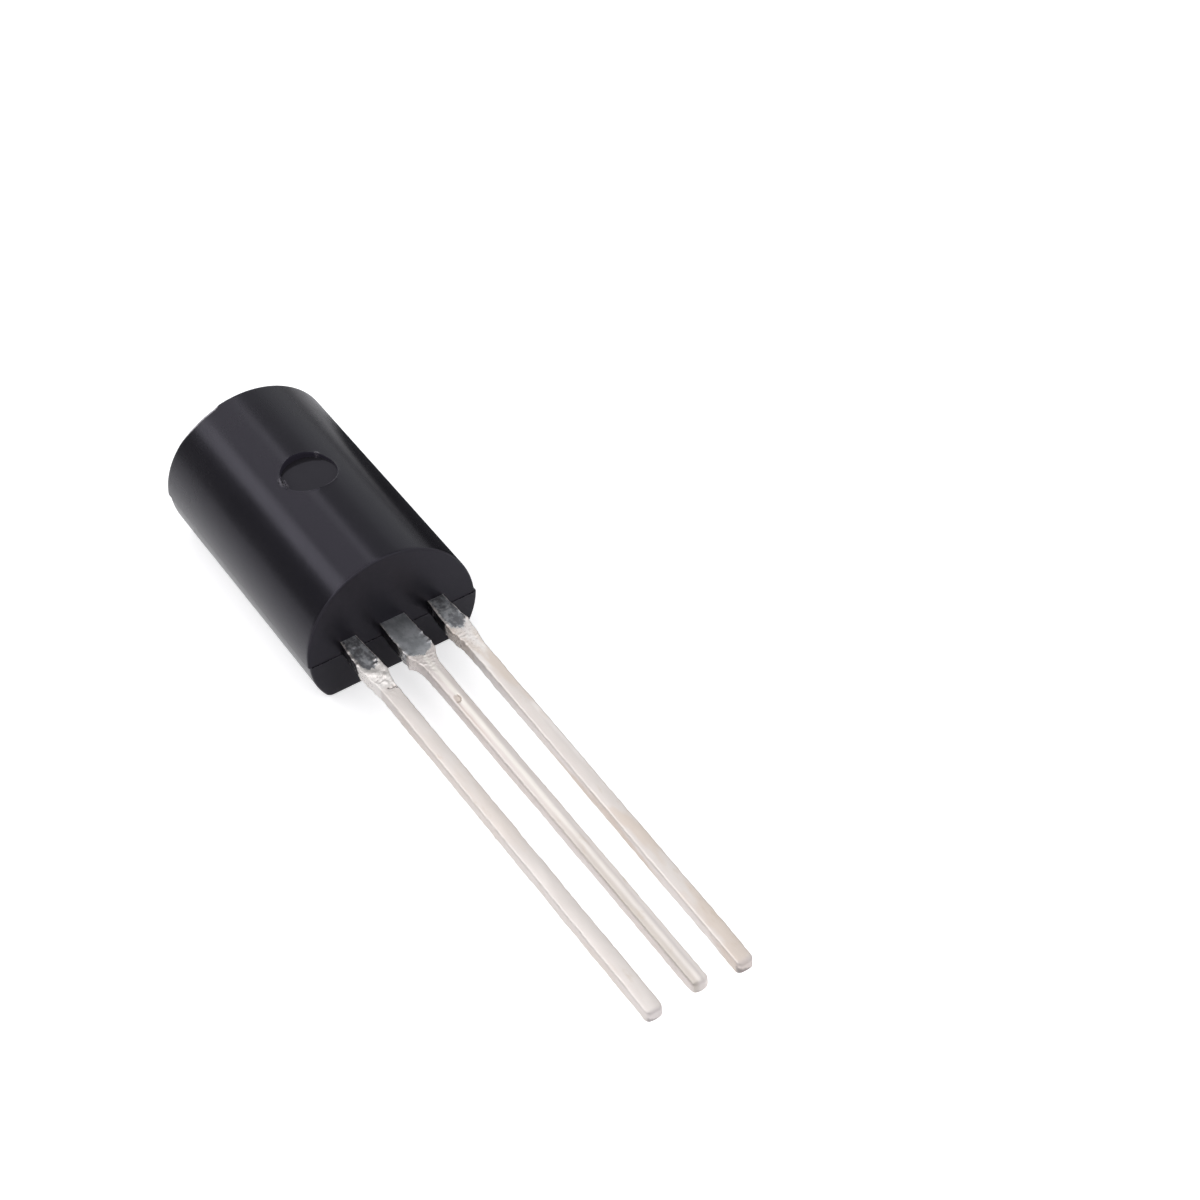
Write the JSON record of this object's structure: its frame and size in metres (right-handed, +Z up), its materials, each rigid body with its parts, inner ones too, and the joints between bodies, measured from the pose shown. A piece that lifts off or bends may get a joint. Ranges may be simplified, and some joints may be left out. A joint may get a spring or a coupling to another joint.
{
  "type": "to-92 transistor",
  "caption": "Long-body three-lead transistor in a moulded D-shaped package, lying on its flat, for through-hole boards.",
  "frame": {"origin": "centre of the flat face, on the plane that the part lies on", "axes": "+Z up through the round back, -Y along the leads towards their tips, X across the row of leads with the emitter lead at +X"},
  "size_m": [0.0049, 0.0218, 0.0038],
  "materials": {
    "epoxy": "satin",
    "tinned_lead": "satin",
    "solder": "satin",
    "silicon": "polished",
    "bond_wire": "polished"
  },
  "bodies": {
    "root": {"epoxy_body": "epoxy", "collector_lead": "tinned_lead", "emitter_lead": "tinned_lead", "base_lead": "tinned_lead", "die_attach": "solder", "transistor_die": "silicon", "emitter_bond_wire": "bond_wire", "base_bond_wire": "bond_wire"}
  },
  "joints": []
}
